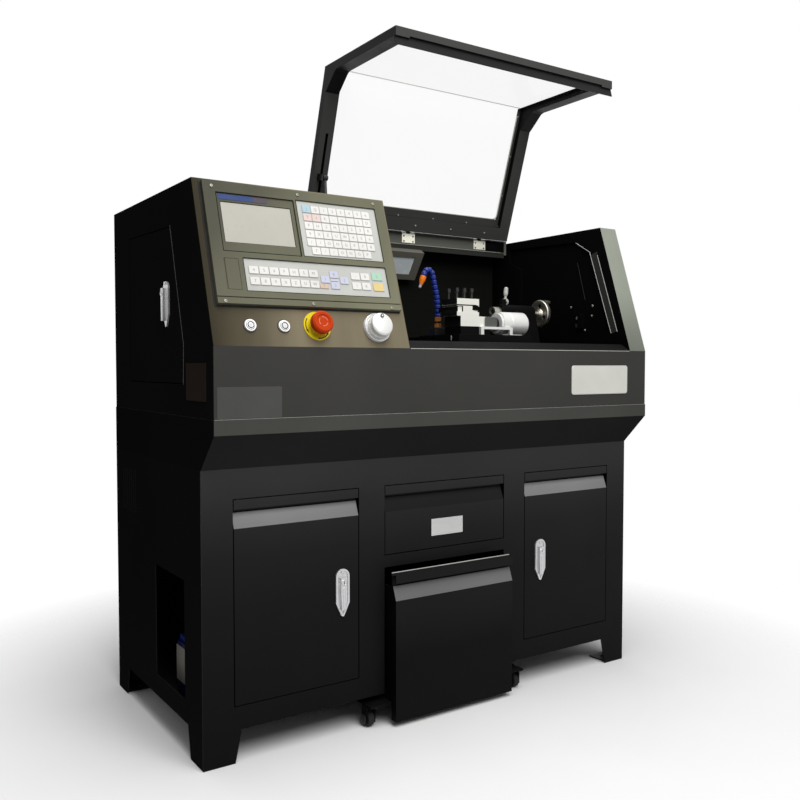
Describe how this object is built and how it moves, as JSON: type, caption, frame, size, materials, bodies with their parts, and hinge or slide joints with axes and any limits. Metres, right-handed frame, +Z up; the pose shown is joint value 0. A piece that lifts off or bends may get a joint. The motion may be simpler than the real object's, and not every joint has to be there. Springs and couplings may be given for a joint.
{
  "type": "mini cnc lathe",
  "caption": "Cabinet-mounted mini CNC lathe with a slanted control panel, an open hinged clear guard, a gang tool slide, a tailstock, a drawer and a rolling chip cart",
  "frame": {"origin": "middle of the footprint, on the floor", "axes": "+X to the operator's right along the spindle, +Y away from the operator, +Z up"},
  "size_m": [1.171, 0.6352, 1.4911],
  "materials": {
    "cabinet_paint": "semi-gloss black powder coat",
    "side_paint": "semi-gloss black powder coat",
    "tray_paint": "dark grey powder coat",
    "panel_paint": "dark grey satin powder coat",
    "slant_paint": "olive grey satin coat",
    "guard_paint": "black powder coat",
    "hinge_steel": "nickel plated",
    "bezel_metal": "olive grey anodised front",
    "screen": "satin display screen",
    "membrane": "printed membrane with raised keys",
    "ring_metal": "satin rings, yellow disc under the emergency stop",
    "pump_plastic": "blue pump on a whitish tank",
    "lamp_metal": "grey paint",
    "lamp_glass": "frosted light blue glass",
    "casting": "painted casting with ground ways",
    "motor_paint": "black motor housings",
    "belt_rubber": "black belt",
    "latch_zinc": "satin chromed zinc",
    "castor_steel": "zinc plated",
    "wheel_rubber": "black rubber",
    "window": "clear polycarbonate",
    "spring_black": "black tube",
    "rod_steel": "dark nitrided rod",
    "bright_steel": "ground steel",
    "black_oxide": "blackened steel",
    "drill_alu": "turned aluminium",
    "hose_plastic": "blue segments with an orange nozzle",
    "button_plastic": "silver grey cap",
    "stop_red": "red cap",
    "dial_metal": "turned aluminium"
  },
  "bodies": {
    "cabinet": {"base_front_frame": "cabinet_paint", "base_wrap": "side_paint", "base_inner_panels": "cabinet_paint", "chip_tray": "tray_paint", "front_panel": "panel_paint", "control_box_shell": "slant_paint", "right_wall_box": "slant_paint", "rear_housing": "side_paint", "lid_hinges": "hinge_steel", "controller_bezel": "bezel_metal", "screen_glass": "screen", "membrane_keys": "membrane", "panel_rings": "ring_metal", "lube_pump": "pump_plastic", "work_lamp": "lamp_metal", "lamp_glass": "lamp_glass", "machine_bed": "casting", "headstock": "casting", "drive_motors": "motor_paint", "drive_belt": "belt_rubber"},
    "left_door": {"left_door": "cabinet_paint"},
    "left_latch": {"left_door_latch": "latch_zinc"},
    "right_door": {"right_door": "cabinet_paint"},
    "right_latch": {"right_door_latch": "latch_zinc"},
    "side_door": {"side_door": "side_paint"},
    "side_latch": {"side_door_latch": "latch_zinc"},
    "drawer": {"drawer": "cabinet_paint"},
    "cart": {"chip_cart": "cabinet_paint"},
    "castor_left": {"castor_fork_left": "castor_steel"},
    "castor_right": {"castor_fork_right": "castor_steel"},
    "wheel_left": {"castor_wheel_left": "wheel_rubber"},
    "wheel_right": {"castor_wheel_right": "wheel_rubber"},
    "rear_wheels": {"rear_wheels": "wheel_rubber"},
    "guard": {"lid_frame": "guard_paint", "lid_window": "window"},
    "spring_tube": {"gas_spring_tube": "spring_black"},
    "spring_rod": {"gas_spring_rod": "rod_steel"},
    "spindle": {"spindle": "bright_steel", "chuck_body": "bright_steel"},
    "jaw_1": {"chuck_jaw_1": "black_oxide"},
    "jaw_2": {"chuck_jaw_2": "black_oxide"},
    "jaw_3": {"chuck_jaw_3": "black_oxide"},
    "motor_pulley": {"motor_pulley": "black_oxide"},
    "carriage": {"carriage": "casting"},
    "cross_slide": {"cross_slide": "casting", "gang_tool_block": "bright_steel", "drill_head": "drill_alu", "coolant_hose": "hose_plastic"},
    "drill_chuck": {"drill_chuck": "black_oxide"},
    "tailstock": {"tailstock_body": "casting"},
    "quill": {"tailstock_quill": "bright_steel"},
    "tail_wheel": {"tailstock_handwheel": "dial_metal"},
    "tail_lever": {"tailstock_lever": "bright_steel"},
    "z_screw": {"z_screw": "bright_steel"},
    "x_screw": {"x_screw": "bright_steel"},
    "start_button": {"start_button": "button_plastic"},
    "stop_button": {"stop_button": "button_plastic"},
    "estop": {"estop_cap": "stop_red"},
    "dial": {"hand_dial": "dial_metal"},
    "memory_door": {"memory_door": "bezel_metal"}
  },
  "joints": [
    {"name": "left_door_hinge", "type": "hinge", "parent": "cabinet", "child": "left_door", "pos_m": [-0.4995, -0.2244, 0.3145], "axis": [0, 0, -1], "range_deg": [0, 110]},
    {"name": "left_latch_turn", "type": "hinge", "parent": "left_door", "child": "left_latch", "pos_m": [-0.2685, -0.2294, 0.3], "axis": [0, 1, 0], "range_deg": [0, 90]},
    {"name": "right_door_hinge", "type": "hinge", "parent": "cabinet", "child": "right_door", "pos_m": [0.5105, -0.2244, 0.3145], "axis": [0, 0, 1], "range_deg": [0, 110]},
    {"name": "right_latch_turn", "type": "hinge", "parent": "right_door", "child": "right_latch", "pos_m": [0.2875, -0.2294, 0.3], "axis": [0, -1, 0], "range_deg": [0, 90]},
    {"name": "side_door_hinge", "type": "hinge", "parent": "cabinet", "child": "side_door", "pos_m": [-0.5665, 0.1906, 0.9], "axis": [0, 0, -1], "range_deg": [0, 92]},
    {"name": "side_latch_turn", "type": "hinge", "parent": "side_door", "child": "side_latch", "pos_m": [-0.5745, -0.0524, 0.898], "axis": [1, 0, 0], "range_deg": [0, 90]},
    {"name": "drawer_slide", "type": "slide", "parent": "cabinet", "child": "drawer", "axis": [0, -1, 0], "range_m": [0, 0.28]},
    {"name": "cart_roll", "type": "slide", "parent": "cabinet", "child": "cart", "axis": [0, -1, 0], "range_m": [-0.035, 0.4]},
    {"name": "castor_left_swivel", "type": "hinge", "parent": "cart", "child": "castor_left", "pos_m": [-0.1995, -0.2294, 0.04], "axis": [0, 0, 1], "continuous": true},
    {"name": "castor_right_swivel", "type": "hinge", "parent": "cart", "child": "castor_right", "pos_m": [0.2105, -0.2294, 0.04], "axis": [0, 0, 1], "continuous": true},
    {"name": "wheel_left_roll", "type": "hinge", "parent": "castor_left", "child": "wheel_left", "pos_m": [-0.1995, -0.2204, 0.017], "axis": [1, 0, 0], "continuous": true},
    {"name": "wheel_right_roll", "type": "hinge", "parent": "castor_right", "child": "wheel_right", "pos_m": [0.2105, -0.2204, 0.017], "axis": [1, 0, 0], "continuous": true},
    {"name": "rear_wheels_roll", "type": "hinge", "parent": "cart", "child": "rear_wheels", "pos_m": [0.0055, 0.1336, 0.017], "axis": [1, 0, 0], "continuous": true},
    {"name": "guard_hinge", "type": "hinge", "parent": "cabinet", "child": "guard", "pos_m": [0.0055, 0.1826, 1.136], "axis": [1, 0, 0], "range_deg": [0, 72]},
    {"name": "gas_spring_swing", "type": "hinge", "parent": "cabinet", "child": "spring_tube", "pos_m": [-0.1175, 0.0836, 0.9105], "axis": [1, 0, 0], "range_deg": [0, 10.49]},
    {"name": "gas_spring_stroke", "type": "slide", "parent": "spring_tube", "child": "spring_rod", "axis": [0, 0.0804, 0.9968], "range_m": [-0.13883, 0]},
    {"name": "spindle_turn", "type": "hinge", "parent": "cabinet", "child": "spindle", "pos_m": [-0.2745, -0.0394, 0.914], "axis": [1, 0, 0], "continuous": true},
    {"name": "jaw_1_grip", "type": "slide", "parent": "spindle", "child": "jaw_1", "axis": [0, 0, 1], "range_m": [-0.005, 0.006]},
    {"name": "jaw_2_grip", "type": "slide", "parent": "spindle", "child": "jaw_2", "axis": [0, -0.866, -0.5], "range_m": [-0.005, 0.006]},
    {"name": "jaw_3_grip", "type": "slide", "parent": "spindle", "child": "jaw_3", "axis": [0, 0.866, -0.5], "range_m": [-0.005, 0.006]},
    {"name": "motor_turn", "type": "hinge", "parent": "cabinet", "child": "motor_pulley", "pos_m": [-0.3085, 0.1406, 0.8], "axis": [1, 0, 0], "continuous": true},
    {"name": "z_travel", "type": "slide", "parent": "cabinet", "child": "carriage", "axis": [-1, 0, 0], "range_m": [0, 0.1]},
    {"name": "x_travel", "type": "slide", "parent": "carriage", "child": "cross_slide", "axis": [0, 1, 0], "range_m": [0, 0.06]},
    {"name": "z_screw_turn", "type": "hinge", "parent": "cabinet", "child": "z_screw", "pos_m": [0.4855, -0.1394, 0.775], "axis": [-1, 0, 0], "range_deg": [0, 7200]},
    {"name": "x_screw_turn", "type": "hinge", "parent": "carriage", "child": "x_screw", "pos_m": [0.1855, -0.1244, 0.8213], "axis": [0, 1, 0], "range_deg": [0, 5400]},
    {"name": "drill_turn", "type": "hinge", "parent": "cross_slide", "child": "drill_chuck", "pos_m": [0.2205, -0.1404, 0.8776], "axis": [1, 0, 0], "continuous": true},
    {"name": "tailstock_slide", "type": "slide", "parent": "cabinet", "child": "tailstock", "axis": [1, 0, 0], "range_m": [0, 0.02]},
    {"name": "quill_travel", "type": "slide", "parent": "tailstock", "child": "quill", "axis": [-1, 0, 0], "range_m": [0, 0.045]},
    {"name": "tail_wheel_turn", "type": "hinge", "parent": "tailstock", "child": "tail_wheel", "pos_m": [0.4555, -0.0394, 0.914], "axis": [-1, 0, 0], "range_deg": [0, 5400]},
    {"name": "quill_lock_turn", "type": "hinge", "parent": "tailstock", "child": "tail_lever", "pos_m": [0.3375, -0.0394, 0.942], "axis": [0, 1, 0], "range_deg": [0, 48]},
    {"name": "start_button_press", "type": "slide", "parent": "cabinet", "child": "start_button", "axis": [0, 0.9504, -0.3109], "range_m": [0, 0.0022]},
    {"name": "stop_button_press", "type": "slide", "parent": "cabinet", "child": "stop_button", "axis": [0, 0.9504, -0.3109], "range_m": [0, 0.0022]},
    {"name": "estop_press", "type": "slide", "parent": "cabinet", "child": "estop", "axis": [0, 0.9504, -0.3109], "range_m": [0, 0.004]},
    {"name": "dial_turn", "type": "hinge", "parent": "cabinet", "child": "dial", "pos_m": [-0.2175, -0.29284, 0.85403], "axis": [0, -0.9504, 0.3109], "continuous": true},
    {"name": "memory_door_hinge", "type": "hinge", "parent": "cabinet", "child": "memory_door", "pos_m": [-0.5305, -0.26909, 0.9157], "axis": [0, -0.3109, -0.9504], "range_deg": [0, 95]}
  ],
  "couplings": [
    {"joint": "gas_spring_swing", "follows": "guard_hinge", "ratio": 0.14563},
    {"joint": "gas_spring_stroke", "follows": "guard_hinge", "m_per_rad": -0.11047},
    {"joint": "motor_turn", "follows": "spindle_turn", "ratio": 1.4062},
    {"joint": "jaw_2_grip", "follows": "jaw_1_grip", "ratio": 1},
    {"joint": "jaw_3_grip", "follows": "jaw_1_grip", "ratio": 1},
    {"joint": "z_screw_turn", "follows": "z_travel", "rad_per_m": 1256.6},
    {"joint": "x_screw_turn", "follows": "x_travel", "rad_per_m": 1570.8},
    {"joint": "tail_wheel_turn", "follows": "quill_travel", "rad_per_m": 2094.4}
  ]
}
